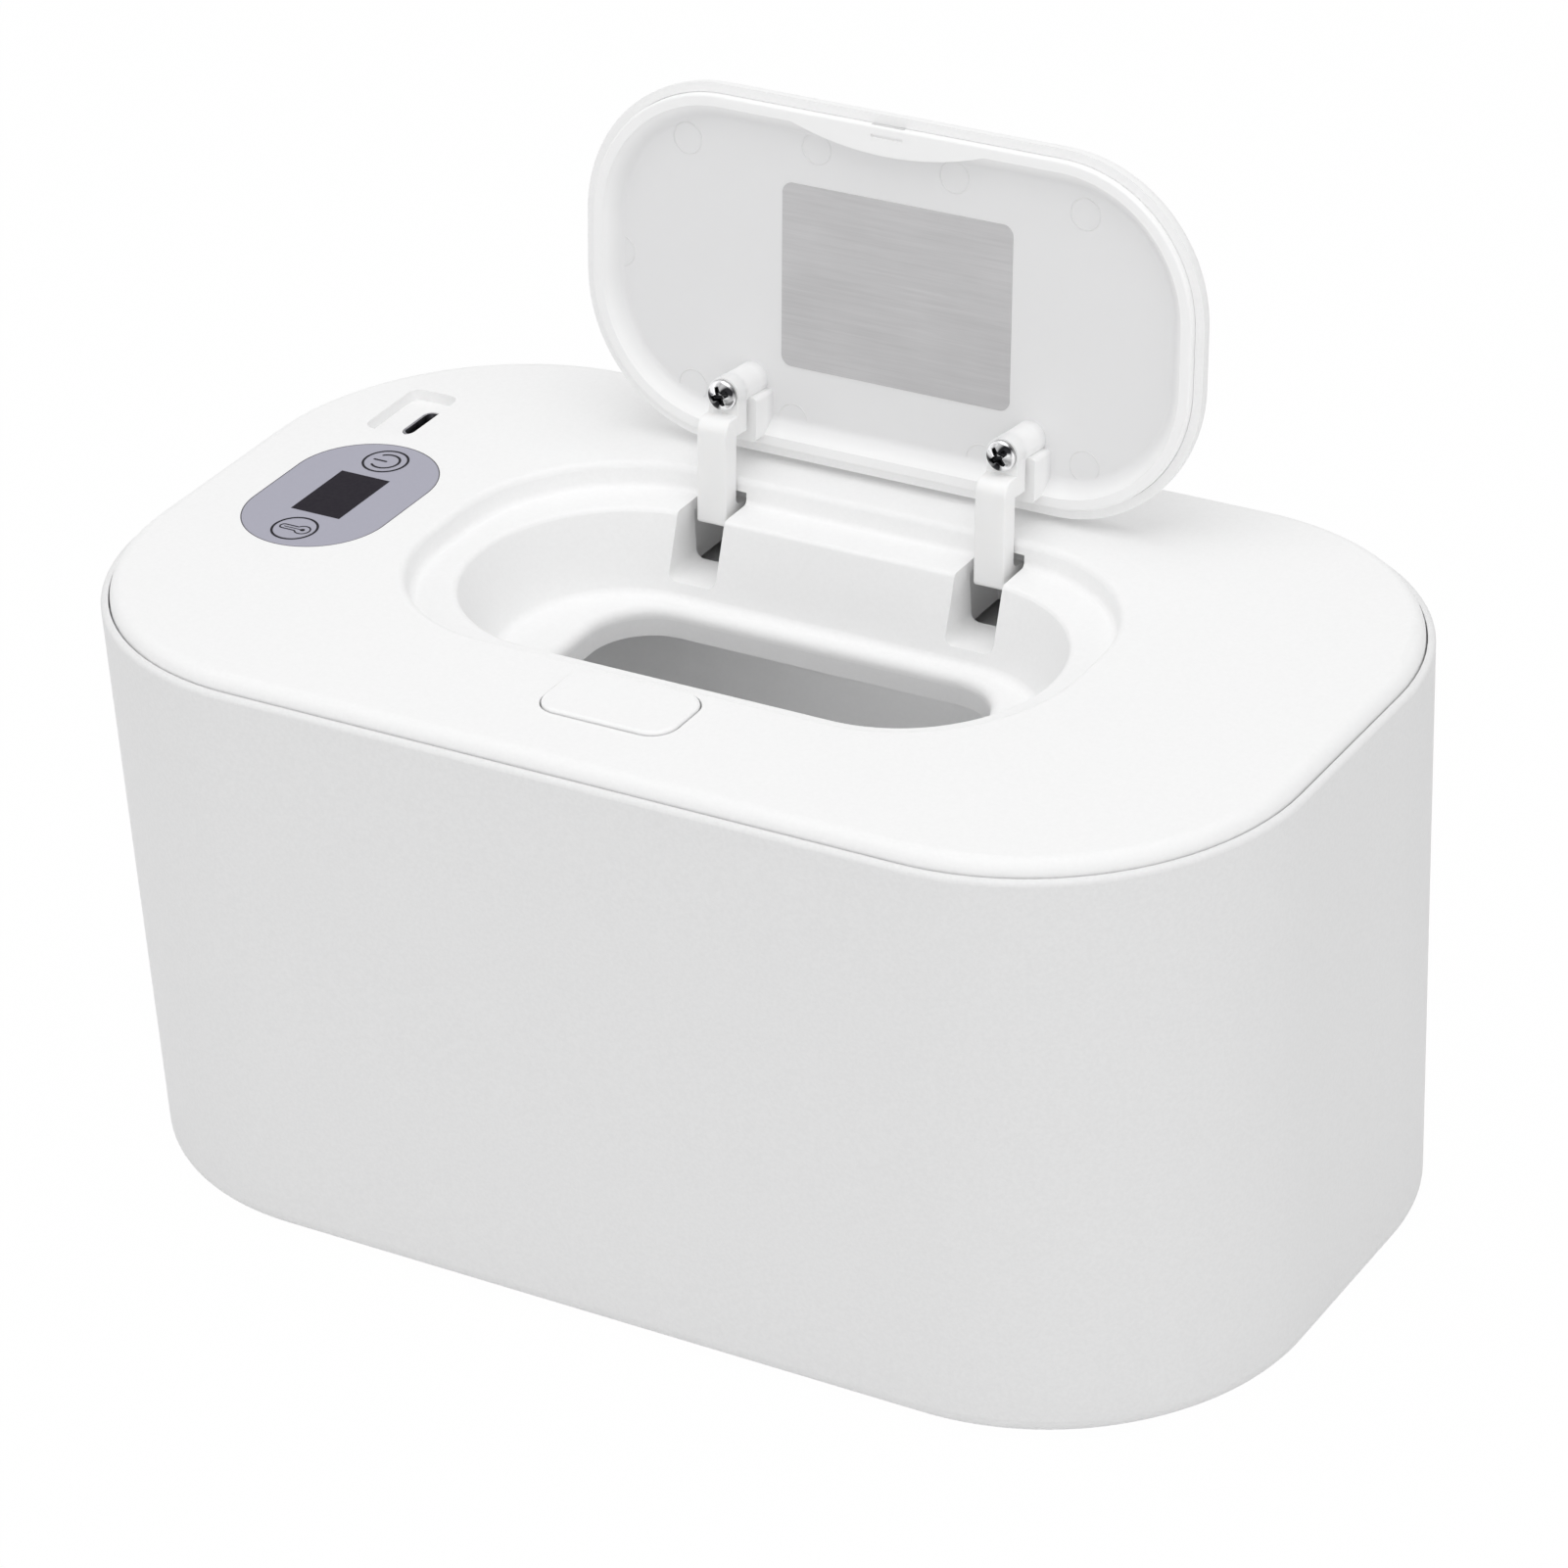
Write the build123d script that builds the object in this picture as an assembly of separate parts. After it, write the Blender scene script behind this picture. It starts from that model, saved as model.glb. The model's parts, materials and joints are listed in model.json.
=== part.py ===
from build123d import *
import math
import os

# Wipe warmer: a tapered tub, a lift-off top cover that holds the heater and controls,
# and a sprung lid on two gooseneck arms over the dispensing well.
# Millimetres, +Z up, front towards -Y, origin under the middle of the base.

os.makedirs("parts", exist_ok=True)

# Outer body
rim_length = 212.5
rim_width = 125.0
rim_corner = 45.5
rim_top = 101.3
end_taper = 1.9
side_taper = 1.6
corner_taper = 1.3
body_wall = 2.4
body_floor = 2.4
base_fillet = 3.0
rim_round = 0.8
lip_width = 1.25
shelf_drop = 2.5
shelf_width = 2.0
shelf_depth = 4.0
rib_thickness = 1.6
rib_reach = 0.36
body_bottom = 0.8
shelf_z = rim_top - shelf_drop
shelf_inset = body_wall + shelf_width
seam_length = rim_length - 2 * lip_width
seam_width = rim_width - 2 * lip_width
seam_corner = rim_corner - lip_width

# Rubber feet
foot_radius = 6.0
foot_thickness = 2.0
foot_gap = 0.2
foot_x = rim_length / 2 - 30.25
foot_y = rim_width / 2 - 28.5

# Inner tub
flange_thickness = 1.5
flange_clearance = 0.3
tub_clearance = 0.3
tub_wall = 1.8
tub_floor_height = 4.0
tub_taper = 3.2
tub_fillet = 5.0
flange_top = shelf_z + flange_thickness
tub_inset = shelf_inset + tub_clearance
tub_opening_inset = tub_inset + tub_wall

# Top deck
deck_rise = 2.5
deck_thickness = 2.5
deck_gap = 0.3
deck_round = 2.4
deck_skirt = 2.2
seat_gap = 0.05
deck_top = rim_top + deck_rise
deck_under = deck_top - deck_thickness
deck_bottom = flange_top + seat_gap
deck_length = seam_length - 2 * deck_gap
deck_width = seam_width - 2 * deck_gap
deck_corner = seam_corner - deck_gap

# Lid
lid_end_space = 48.85
lid_side_space = 31.4
lid_corner_share = 0.418
lid_lift = 0.2
lid_wall = 1.6
lid_side_lift = 1.2
lid_rise = 5.5
lid_round = 3.4
lid_length = rim_length - 2 * lid_end_space
lid_width = rim_width - 2 * lid_side_space
lid_corner = lid_width * lid_corner_share

# Well in the deck, stepped down from a ledge to a floor with the dispensing slot
well_center_y = 0.5
well_end_gap = 1.8
well_side_gap = 1.55
well_corner_gap = 2.5
well_draft = 0.5
well_round = 1.2
well_wall = 2.1
well_floor = 2.2
ledge_drop = 4.2
ledge_end_width = 6.3
ledge_side_width = 7.45
ledge_round = 1.0
floor_drop = 17.5
floor_round = 1.5
slope_end_width = 5.0
slope_side_width = 5.3
floor_end_width = 11.15
floor_side_width = 3.35
slot_corner = 10.5
slot_round = 1.8
well_length = lid_length + 2 * well_end_gap
well_width = lid_width + 2 * well_side_gap
well_corner = lid_corner + well_corner_gap
ledge_length = well_length - 2 * ledge_end_width
ledge_width = well_width - 2 * ledge_side_width
ledge_corner = ledge_width / 2 - 0.2
foot_length = ledge_length - 2 * slope_end_width
foot_width = ledge_width - 2 * slope_side_width
foot_corner = foot_width / 2 - 0.1
slot_length = foot_length - 2 * floor_end_width
slot_width = foot_width - 2 * floor_side_width
ledge_z = deck_top - ledge_drop
floor_z = deck_top - floor_drop
floor_under = floor_z - well_floor
well_front_y = well_center_y - well_width / 2
well_rear_y = well_center_y + well_width / 2

# Liner under the lid, with a flat ring round a shallow tray
liner_fit = 0.05
ring_inset = lid_wall + liner_fit
ring_face = 1.95
ring_slope = 2.4
ring_depth = 2.6
ring_edge_round = 0.5
tray_round = 1.4
liner_thickness = 1.3
bump_length = 35.6
bump_depth = 2.95
mark_width = 5.9
mark_length = 0.5
mark_depth = 0.35
mark_inset = 1.45
ring_z = ledge_z + lid_lift
liner_z = ring_z + ring_depth
shell_low = ring_z + lid_side_lift
shell_top = ring_z + lid_rise
shell_under = shell_top - lid_wall
ring_front_y = well_center_y - lid_width / 2 + ring_inset

# Hinge pin and the gooseneck arms
pin_drop = 5.2
pin_behind_well = 5.1
pin_radius = 1.25
pin_clearance = 0.05
pin_overhang = 1.4
pin_head_radius = 2.2
pin_head_length = 0.8
pin_fit = 0.02
groove_depth = 0.4
groove_start = 0.1
clip_thickness = 0.5
clip_radius = 2.4
open_angle = 96.2
pin_y = well_rear_y + pin_behind_well
pin_z = deck_top - pin_drop
arm_x = 26.1
arm_width = 5.6
arm_thickness = 3.3
arm_bar_drop = 9.5
arm_reach = 18.8
arm_bend = 0.8
arm_inner_bend = 1.2
arm_shelf_bend = 2.4
arm_edge_round = 0.35
arm_neck = 3.4
eye_radius = 2.9
eye_drop = 5.75
eye_thickness = 2.8
eye_gap = 0.3
barrel_radius = 2.5
leg_behind_pin = 3.0
leg_thickness = 3.0
boss_radius = 2.8
pad_width = 7.6
pad_length = 7.7
pad_height = 5.4
pad_gap = 1.35
pad_round = 0.8
arm_screw_radius = 1.3
arm_screw_head = 2.6
arm_screw_head_height = 1.6
arm_screw_length = 8.0
arm_bar_z = pin_z - arm_bar_drop
arm_tip_y = pin_y - arm_reach
eye_z = pin_z - eye_drop
pad_front_y = arm_tip_y + pad_gap

# Hinge pockets: a narrow bay with a floor, then a wider part open below round the pin
pocket_width = 8.9
pocket_wall = 2.0
pocket_floor_drop = 15.0
pocket_floor_thickness = 2.0
pocket_round = 1.5
pocket_roof = 2.2
pocket_overlap = 2.0
bay_end = 7.75
pin_bay_width = 12.2
pin_bay_front = 3.2
pin_bay_rear = 4.05
pocket_floor_z = deck_top - pocket_floor_drop
pocket_top_z = deck_top - pocket_roof
pocket_floor_end_y = pin_y - bay_end
pocket_end_y = pin_y + pin_bay_rear
pocket_inner = arm_x - pocket_width / 2
pocket_outer = arm_x + pocket_width / 2
pin_inner = arm_x - pin_bay_width / 2
pin_outer = arm_x + pin_bay_width / 2

# Lid springs
spring_wire = 0.4
spring_turns = 4
spring_spacing = 0.05
spring_clearance = 0.15
spring_leg = 4.5

# Latch button
button_length = 24.0
button_width = 14.0
button_corner = 4.2
button_to_well = 8.85
button_proud = 0.6
button_cap = 1.6
button_wall = 1.2
button_gap = 0.3
button_travel = 1.4
button_skirt_drop = 3.3
button_round = 0.6
collar_wall = 1.5
collar_drop = 5.8
wedge_width = 8.0
wedge_back = 2.5
wedge_tip = 0.8
wedge_drop = 6.8
wedge_rise = 2.4
wedge_ratio = 0.5
button_y = well_front_y - button_to_well
button_rear_y = button_y + button_width / 2 + button_gap
wedge_back_y = button_y + wedge_back
wedge_tip_y = button_y - wedge_tip
wedge_bottom_z = deck_top - wedge_drop

# Latch slider with the bolt that holds the lid
slide_gap = 0.3
slider_drop = 8.6
slider_thickness = 1.8
slider_width = 12.0
slider_reach = 4.5
slider_block_height = 4.0
slider_play = 0.3
bolt_width = 5.0
bolt_thickness = 0.55
bolt_side_gap = 0.4
bolt_top_gap = 0.15
bolt_hold = 0.55
bolt_nose = 0.85
bolt_nose_drop = 0.45
bolt_post = 1.5
bolt_notch = 1.1
bolt_notch_height = 1.5
catch_gap = 0.15
catch_width = 6.0
peg_length = 2.0
peg_radius = 0.9
slider_top_z = deck_top - slider_drop
slider_low = slider_top_z - slider_thickness
slider_block_top_z = slider_top_z + slider_block_height
slider_front_y = button_y - slider_reach
bolt_top_z = shell_low - bolt_top_gap
bolt_low_z = bolt_top_z - bolt_thickness
bolt_tip_y = ring_front_y + bolt_hold
bolt_rear_y = button_rear_y - slide_gap

# Inner cover
cover_gap = 1.75
cover_wall = 1.8
cover_floor = 1.2
cover_taper = 0.4
cover_rib = 1.2
cover_fillet = 2.5
collar_rim_wall = 1.4
collar_rim_drop = 1.9
gasket_width = 1.9
gasket_gap = 0.1
cover_inset = tub_opening_inset + cover_gap
cover_floor_z = floor_under - cover_floor

# Latch guide
guide_floor = 1.8
guide_wall = 2.0
guide_front_wall = 1.2
guide_front_gap = 0.05
guide_ear = 11.5
guide_ear_length = 8.0
guide_ear_thickness = 1.8
guide_ear_drop = 6.8
guide_hole_x = 17.0
guide_post_radius = 2.6
coil_radius = 1.8
coil_wire = 0.5
slider_coil_turns = 6
button_coil_turns = 4
button_coil_x = 8.7
guide_ear_z = deck_top - guide_ear_drop
guide_front_y = cover_inset + cover_wall + cover_taper + guide_front_gap - rim_width / 2

# Control panel
panel_end_inset = 26.25
panel_width = 25.6
panel_length = 38.5
panel_thickness = 0.8
panel_gap = 0.12
display_width = 9.6
display_length = 15.1
display_gap = 0.3
icon_y = 13.4
touch_hole_radius = 3.2
panel_x = panel_end_inset - rim_length / 2

# Electronics
board_drop = 9.1
board_thickness = 1.2
board_width = 25.0
board_length = 44.0
board_post_x = 9.8
board_post_y = 19.6
chip_size = 8.0
chip_height = 1.2
plug_x = 7.5
plug_y = -1.5
plug_width = 4.0
plug_length = 9.0
plug_height = 4.0
capacitor_x = -7.0
capacitor_y = -8.0
capacitor_radius = 2.5
capacitor_height = 6.0
post_radius = 2.2
post_hole_radius = 0.8
small_screw_radius = 0.75
small_screw_head = 1.5
small_screw_head_height = 1.0
board_screw_length = 5.0
touch_coil_radius = 2.6
touch_wire = 0.5
touch_turns = 4
board_top_z = deck_top - board_drop
board_low_z = board_top_z - board_thickness

# Charging socket
socket_end_inset = 21.65
socket_side_inset = 31.3
socket_length = 8.94
socket_width = 3.26
socket_depth = 7.3
socket_shell = 0.3
socket_gap = 0.15
tongue_length = 6.7
tongue_width = 0.7
tongue_height = 5.2
socket_pocket_width = 9.3
socket_pocket_length = 16.0
socket_pocket_shift_x = -1.85
socket_pocket_shift_y = -0.2
socket_pocket_depth = 2.0
socket_pocket_corner = 2.0
socket_pocket_wall = 1.6
socket_pocket_floor = 1.4
socket_board_shift_x = 1.6
socket_board_length = 14.0
socket_board_width = 10.0
socket_board_thickness = 1.0
socket_post_x = 3.0
socket_post_y = 5.0
socket_x = socket_end_inset - rim_length / 2
socket_y = rim_width / 2 - socket_side_inset
socket_board_x = socket_x + socket_board_shift_x
socket_board_y = socket_y + socket_pocket_shift_y
socket_low_z = deck_top - socket_pocket_depth - socket_depth

# Heater under the inner cover
plate_end_inset = 31.25
plate_side_inset = 23.5
plate_thickness = 1.0
plate_gap = 1.2
film_thickness = 0.2
film_inset = 4.0
plate_screw_end = 17.0
plate_screw_side = 8.0
plate_screw_grip = 3.5
screw_boss_radius = 3.2
sensor_end = 25.0
sensor_side = 12.5
sensor_length = 5.0
sensor_width = 3.0
sensor_height = 2.0
fuse_end = 29.0
fuse_length = 9.0
fuse_radius = 1.5
part_gap = 0.4
plate_length = rim_length - 2 * plate_end_inset
plate_width = rim_width - 2 * plate_side_inset
plate_corner = plate_width / 2 - 5.0
plate_screw_x = plate_length / 2 - plate_screw_end
plate_screw_y = plate_width / 2 - plate_screw_side
sensor_x = plate_length / 2 - sensor_end
sensor_y = plate_width / 2 - sensor_side
fuse_x = plate_length / 2 - fuse_end
plate_top = cover_floor_z - film_thickness
plate_bottom = plate_top - plate_thickness

# Cover screws round the inner cover, and the leads
cover_screw_radius = 1.2
cover_screw_head = 2.4
cover_screw_head_height = 1.6
cover_screw_length = 9.0
end_screw_x = rim_length / 2 - 22.25
end_screw_y = rim_width / 2 - 29.5
side_screw_x = 45.0
side_screw_y = rim_width / 2 - 15.5
latch_screw_length = 5.0
lead_radius = 0.8
lead_spacing = 2.4
lead_drop = 3.4
heater_lead_bend = 1.6
usb_lead_bend = 2.2
usb_lead_start = 4.0
usb_lead_end_y = 14.0


def rounded(length, width, corner, z, x=0.0, y=0.0):
    """A rounded rectangle lying flat at height z."""
    return Pos(x, y, z) * RectangleRounded(length, width, min(corner, min(length, width) / 2 - 0.01))


def prism(length, width, corner, low, high, x=0.0, y=0.0):
    """A straight block with rounded corners from low to high."""
    return extrude(rounded(length, width, corner, low, x, y), amount=high - low)


def tapered(low_size, low_z, high_size, high_z, y=0.0):
    """A rounded block whose outline changes evenly from low_z to high_z."""
    low = rounded(*low_size, low_z, 0.0, y)
    high = rounded(*high_size, high_z, 0.0, y)
    return loft([low, high])


def grown(size, amount):
    """An outline moved outwards by amount on every side."""
    return size[0] + 2 * amount, size[1] + 2 * amount, size[2] + amount


def block(x0, x1, y0, y1, z0, z1):
    """A square block between two corners."""
    return Pos((x0 + x1) / 2, (y0 + y1) / 2, (z0 + z1) / 2) * Box(x1 - x0, y1 - y0, z1 - z0)


def post(x, y, radius, low, high):
    """An upright round post."""
    return Pos(x, y, (low + high) / 2) * Cylinder(radius, high - low)


def rod(x0, x1, y, z, radius):
    """A round rod along X."""
    return Pos((x0 + x1) / 2, y, z) * Rot(0, 90, 0) * Cylinder(radius, x1 - x0)


def at_height(share_size, z):
    """The outer body's outline at height z, moved inwards by share_size."""
    share = (rim_top - z) / (rim_top - body_bottom)
    length = rim_length - 2 * end_taper * share
    width = rim_width - 2 * side_taper * share
    corner = rim_corner - corner_taper * share
    return grown((length, width, corner), -share_size)


def side_profile(points, x0, x1):
    """A Y-Z outline carried along X from x0 to x1."""
    face = make_face(Polyline(*[(x0, y, z) for y, z in points], close=True))
    return extrude(face, amount=x1 - x0, dir=(1, 0, 0))


def coil(radius, wire, height, turns):
    """A round-wire helix standing on z = 0."""
    path = Helix(pitch=height / turns, height=height, radius=radius)
    section = Plane(origin=path @ 0, z_dir=path % 0) * Circle(wire / 2)
    return sweep(section, path=path, is_frenet=True)


def screw(radius, length, head_radius, head_height):
    """A pan-head screw pointing down -Z with the underside of its head at z = 0."""
    head = extrude(Circle(head_radius), amount=head_height)
    head = fillet(head.edges().group_by(Axis.Z)[-1], head_height * 0.5)
    shank = Pos(0, 0, -length / 2) * Cylinder(radius, length)
    recess = Pos(0, 0, head_height) * Box(head_radius, head_radius * 0.3, head_height)
    recess += Pos(0, 0, head_height) * Box(head_radius * 0.3, head_radius, head_height)
    return head + shank - recess


def upward(screw_shape):
    """Turns a screw so that its tip points up."""
    return Rot(180, 0, 0) * screw_shape


def opened(shape):
    """Swings a lid piece from its closed place to the open rest place."""
    return shape.rotate(Axis((0, pin_y, pin_z), (1, 0, 0)), -open_angle)


def save(shape, name):
    """Writes one node."""
    export_step(shape, f"parts/{name}.step")


# Body ------------------------------------------------------------------

def outer_body():
    shell = tapered(at_height(0, body_bottom), body_bottom, at_height(0, rim_top), rim_top)
    shell = fillet(shell.edges().group_by(Axis.Z)[0], base_fillet)
    shell = fillet(shell.edges().group_by(Axis.Z)[-1], rim_round)
    floor_top = body_bottom + body_floor
    shelf_low = shelf_z - shelf_depth
    shell -= tapered(at_height(body_wall, floor_top), floor_top, at_height(body_wall, shelf_low), shelf_low)
    shell -= prism(*at_height(shelf_inset, shelf_z), shelf_low - 1, rim_top + 1)
    shell -= prism(seam_length, seam_width, seam_corner, shelf_z, rim_top + 1)
    for x in (-foot_x, foot_x):
        for y in (-foot_y, foot_y):
            shell -= post(x, y, foot_radius + foot_gap, 0, foot_thickness)
    rib_half = rim_width * rib_reach
    for x in (-foot_x, -foot_x / 3, foot_x / 3, foot_x):
        shell += block(x - rib_thickness / 2, x + rib_thickness / 2, -rib_half, rib_half, floor_top - 0.2,
                       tub_floor_height)
    return shell


def inner_tub():
    top_size = at_height(tub_inset, shelf_z)
    low_size = grown(top_size, -tub_taper)
    tub = tapered(low_size, tub_floor_height, top_size, shelf_z)
    tub = fillet(tub.edges().group_by(Axis.Z)[0], tub_fillet)
    flange = grown((seam_length, seam_width, seam_corner), -flange_clearance)
    tub += prism(*flange, shelf_z, flange_top)
    inside_low = tub_floor_height + tub_wall
    hollow = tapered(grown(low_size, -tub_wall), inside_low, grown(top_size, -tub_wall), shelf_z)
    hollow = fillet(hollow.edges().group_by(Axis.Z)[0], tub_fillet - tub_wall)
    tub -= hollow
    tub -= prism(*grown(top_size, -tub_wall), shelf_z - 0.1, flange_top + 1)
    return tub


def feet():
    pads = []
    for x in (-foot_x, foot_x):
        for y in (-foot_y, foot_y):
            pad = post(x, y, foot_radius, 0, foot_thickness)
            pads.append(chamfer(pad.edges().group_by(Axis.Z)[0], 0.3))
    return Compound(children=pads)


# Top cover -------------------------------------------------------------

def well_walls():
    """The skin of the stepped well, before it is hollowed."""
    top_size = grown((well_length, well_width, well_corner), -well_draft)
    recess = prism(*grown(top_size, well_wall), ledge_z - well_wall, deck_under + 0.5, 0, well_center_y)
    low = grown((foot_length, foot_width, foot_corner), well_wall)
    high = grown((ledge_length, ledge_width, ledge_corner), well_wall)
    return recess + tapered(low, floor_under, high, ledge_z, well_center_y)


def well_hollow():
    """Everything that the well leaves open, down to the dispensing slot."""
    top_size = (well_length, well_width, well_corner)
    base_size = grown(top_size, -well_draft)
    hollow = tapered(base_size, ledge_z, top_size, deck_top, well_center_y)
    flare = grown(top_size, 1.0)
    hollow += tapered(top_size, deck_top, flare, deck_top + 1.0, well_center_y)
    low = (foot_length, foot_width, foot_corner)
    high = (ledge_length, ledge_width, ledge_corner)
    slope = tapered(low, floor_z, high, ledge_z, well_center_y)
    hollow += fillet(slope.edges().group_by(Axis.Z)[0], floor_round)
    edges = hollow.edges().filter_by_position(Axis.Z, ledge_z - 0.01, ledge_z + 0.01)
    return fillet(near(edges, ledge_length, ledge_width), ledge_round)


def sided(shape, side):
    """The shape itself for side 1, its mirror image for side -1."""
    return shape if side > 0 else mirror(shape, about=Plane.YZ)


def hinge_housing(side):
    """The solid blocks behind the well that one arm swings in, for side -1 or 1."""
    low = pocket_floor_z - pocket_floor_thickness
    high = deck_under + 0.3
    bay = block(pocket_inner - pocket_wall, pocket_outer + pocket_wall, well_center_y + foot_width / 2,
                pocket_floor_end_y, low, high)
    rear = block(pin_inner - pocket_wall, pin_outer + pocket_wall, pocket_floor_end_y - pocket_wall,
                 pocket_end_y + pocket_wall, low, high)
    return sided(bay + rear, side)


def hinge_pocket(side):
    """The space that one arm needs: a narrow bay with a floor, then a wider part open below."""
    front = well_center_y + foot_width / 2 - pocket_overlap
    ledge_end = well_rear_y - well_draft - 0.5
    ledge_under = ledge_z - well_wall
    bay = block(pocket_inner, pocket_outer, front, pin_y, pocket_floor_z, pocket_top_z)
    bay = fillet(bay.edges().filter_by(Axis.Y).group_by(Axis.Z)[0], pocket_round)
    above = block(pocket_inner, pocket_outer, front, ledge_end, pocket_top_z - 0.1, deck_top + 1)
    below = block(pin_inner, pin_outer, pocket_floor_end_y, pocket_end_y,
                  pocket_floor_z - pocket_floor_thickness - 1, ledge_under)
    rear = block(pin_inner, pin_outer, pin_y - pin_bay_front, pocket_end_y, ledge_under - 0.1, pocket_top_z)
    return sided(bay + above + below + rear, side)


def latch_window():
    """The opening through the well's front wall for the bolt."""
    half = bolt_width / 2 + bolt_side_gap
    return block(-half, half, button_rear_y - collar_wall, well_front_y + well_draft + slide_gap,
                 bolt_low_z - slide_gap, bolt_top_z + slide_gap)


def button_outline(amount):
    """The button's outline moved outwards by amount."""
    return grown((button_length, button_width, button_corner), amount)


def socket_center():
    """Middle and size of the pocket round the charging socket."""
    x = socket_x + socket_pocket_shift_x
    y = socket_y + socket_pocket_shift_y
    return x, y, socket_pocket_width, socket_pocket_length


def top_deck():
    deck = prism(deck_length, deck_width, deck_corner, deck_bottom, deck_top)
    deck = fillet(deck.edges().group_by(Axis.Z)[-1], deck_round)
    inside = grown((deck_length, deck_width, deck_corner), -deck_skirt)
    deck -= prism(*inside, deck_bottom - 1, deck_under)
    deck += well_walls()
    for side in (-1, 1):
        deck += hinge_housing(side)
    deck += prism(*button_outline(button_gap + collar_wall), deck_top - collar_drop, deck_under + 0.3, 0,
                  button_y)
    pocket_x, pocket_y, pocket_wide, pocket_long = socket_center()
    deck += prism(pocket_wide + 2 * socket_pocket_wall, pocket_long + 2 * socket_pocket_wall,
                  socket_pocket_corner + socket_pocket_wall,
                  deck_top - socket_pocket_depth - socket_pocket_floor, deck_under + 0.3, pocket_x, pocket_y)
    rib_size = at_height(cover_inset, shelf_z)
    rib = prism(*rib_size, deck_under - cover_rib, deck_under + 0.2)
    deck += rib - prism(*grown(rib_size, -cover_wall), deck_under - 2, deck_under + 1)
    deck += support_posts()
    deck -= well_hollow()
    for side in (-1, 1):
        deck -= hinge_pocket(side)
    deck -= prism(slot_length, slot_width, slot_corner, floor_under - 1, floor_z + 1, 0, well_center_y)
    reach = pin_outer + pocket_wall + 1
    deck -= rod(-reach, reach, pin_y, pin_z, pin_radius + pin_fit)
    deck -= prism(*button_outline(button_gap), deck_top - collar_drop - 1, deck_top + 1, 0, button_y)
    deck -= latch_window()
    deck -= prism(panel_width, panel_length, panel_width / 2, deck_top - panel_thickness, deck_top + 1,
                  panel_x)
    half_x = display_width / 2 + display_gap
    half_y = display_length / 2 + display_gap
    deck -= block(panel_x - half_x, panel_x + half_x, -half_y, half_y, deck_under - 1, deck_top)
    for y in (-icon_y, icon_y):
        deck -= post(panel_x, y, touch_hole_radius, deck_under - 1, deck_top)
    deck -= prism(pocket_wide, pocket_long, socket_pocket_corner, deck_top - socket_pocket_depth,
                  deck_top + 1, pocket_x, pocket_y)
    slot_size = grown((socket_width, socket_length, socket_width / 2), socket_gap)
    deck -= prism(*slot_size, deck_under - 6, deck_top, socket_x, socket_y)
    deck = soften_well(deck)
    return deck


def cover_screw_places():
    """Where the inner cover is screwed to the deck; the middle of the left rear is left free."""
    places = [(x, y) for x in (-end_screw_x, end_screw_x) for y in (-end_screw_y, end_screw_y)]
    places += [(x, y) for x in (-side_screw_x, side_screw_x) for y in (-side_screw_y, side_screw_y)]
    return [place for place in places if place != (-end_screw_x, end_screw_y)]


def boss(x, y, radius, hole_radius, low, high, hole_high):
    """A round boss with a pilot hole from below."""
    return post(x, y, radius, low, high) - post(x, y, hole_radius, low - 1, hole_high)


def support_posts():
    """Bosses under the deck for the cover, guide and board screws, with their pilot holes."""
    high = deck_under + 0.2
    hole_high = floor_under + cover_screw_length
    bosses = [boss(x, y, screw_boss_radius, cover_screw_radius, floor_under, high, hole_high)
              for x, y in cover_screw_places()]
    for x in (-guide_hole_x, guide_hole_x):
        bosses.append(boss(x, button_y, guide_post_radius, cover_screw_radius - 0.3, guide_ear_z, high,
                           deck_under - 0.8))
    for x in (-board_post_x, board_post_x):
        for y in (-board_post_y, board_post_y):
            bosses.append(boss(panel_x + x, y, post_radius, post_hole_radius, board_top_z, high,
                               deck_under - 1))
    for y in (-socket_post_y, socket_post_y):
        bosses.append(boss(socket_board_x + socket_post_x, socket_board_y + y, post_radius - 0.4,
                           post_hole_radius, socket_low_z, high, deck_under - 1.2))
    return bosses


def near(edges, length, width):
    """The edges that lie inside a length by width field round the middle of the well."""
    return [e for e in edges if abs(e.center().X) < length / 2 + 0.1
            and abs(e.center().Y - well_center_y) < width / 2 + 0.1]


def soften_well(deck):
    """Rounds the well's rim and the edge of the dispensing slot."""
    rim = deck.edges().filter_by_position(Axis.Z, deck_top - 0.01, deck_top + 0.01)
    deck = fillet(near(rim, well_length, well_width), well_round)
    mouth = deck.edges().filter_by_position(Axis.Z, floor_z - 0.01, floor_z + 0.01)
    return fillet(near(mouth, slot_length, slot_width), slot_round)


def inner_cover():
    top_size = at_height(cover_inset, shelf_z)
    low_size = grown(top_size, -cover_taper)
    top = deck_under - cover_rib
    cover = tapered(low_size, cover_floor_z, top_size, top)
    cover = fillet(cover.edges().group_by(Axis.Z)[0], cover_fillet)
    hollow = tapered(grown(low_size, -cover_wall), floor_under, grown(top_size, -cover_wall), top)
    cover -= hollow
    collar = grown((slot_length, slot_width, slot_corner), collar_rim_wall)
    cover += prism(*collar, cover_floor_z - collar_rim_drop, cover_floor_z + 0.1, 0, well_center_y)
    cover -= prism(slot_length, slot_width, slot_corner, cover_floor_z - 3, floor_under + 1, 0, well_center_y)
    for x, y in cover_screw_places():
        cover -= post(x, y, cover_screw_radius + 0.2, cover_floor_z - 1, floor_under + 1)
    for x, y in plate_screw_places():
        cover += post(x, y, post_radius, cover_floor_z, floor_under + 4.0)
        cover -= post(x, y, post_hole_radius, cover_floor_z - 1, floor_under + 3.2)
    for y in (-lead_spacing / 2, lead_spacing / 2):
        cover -= post(-plate_screw_x, y, lead_radius + 0.2, cover_floor_z - 1, floor_under + 1)
    for x, y, length, width in (sensor_slot(), fuse_slot()):
        cover -= prism(length, width, 0.5, cover_floor_z - 1, floor_under + 1, x, y)
    return cover


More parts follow.
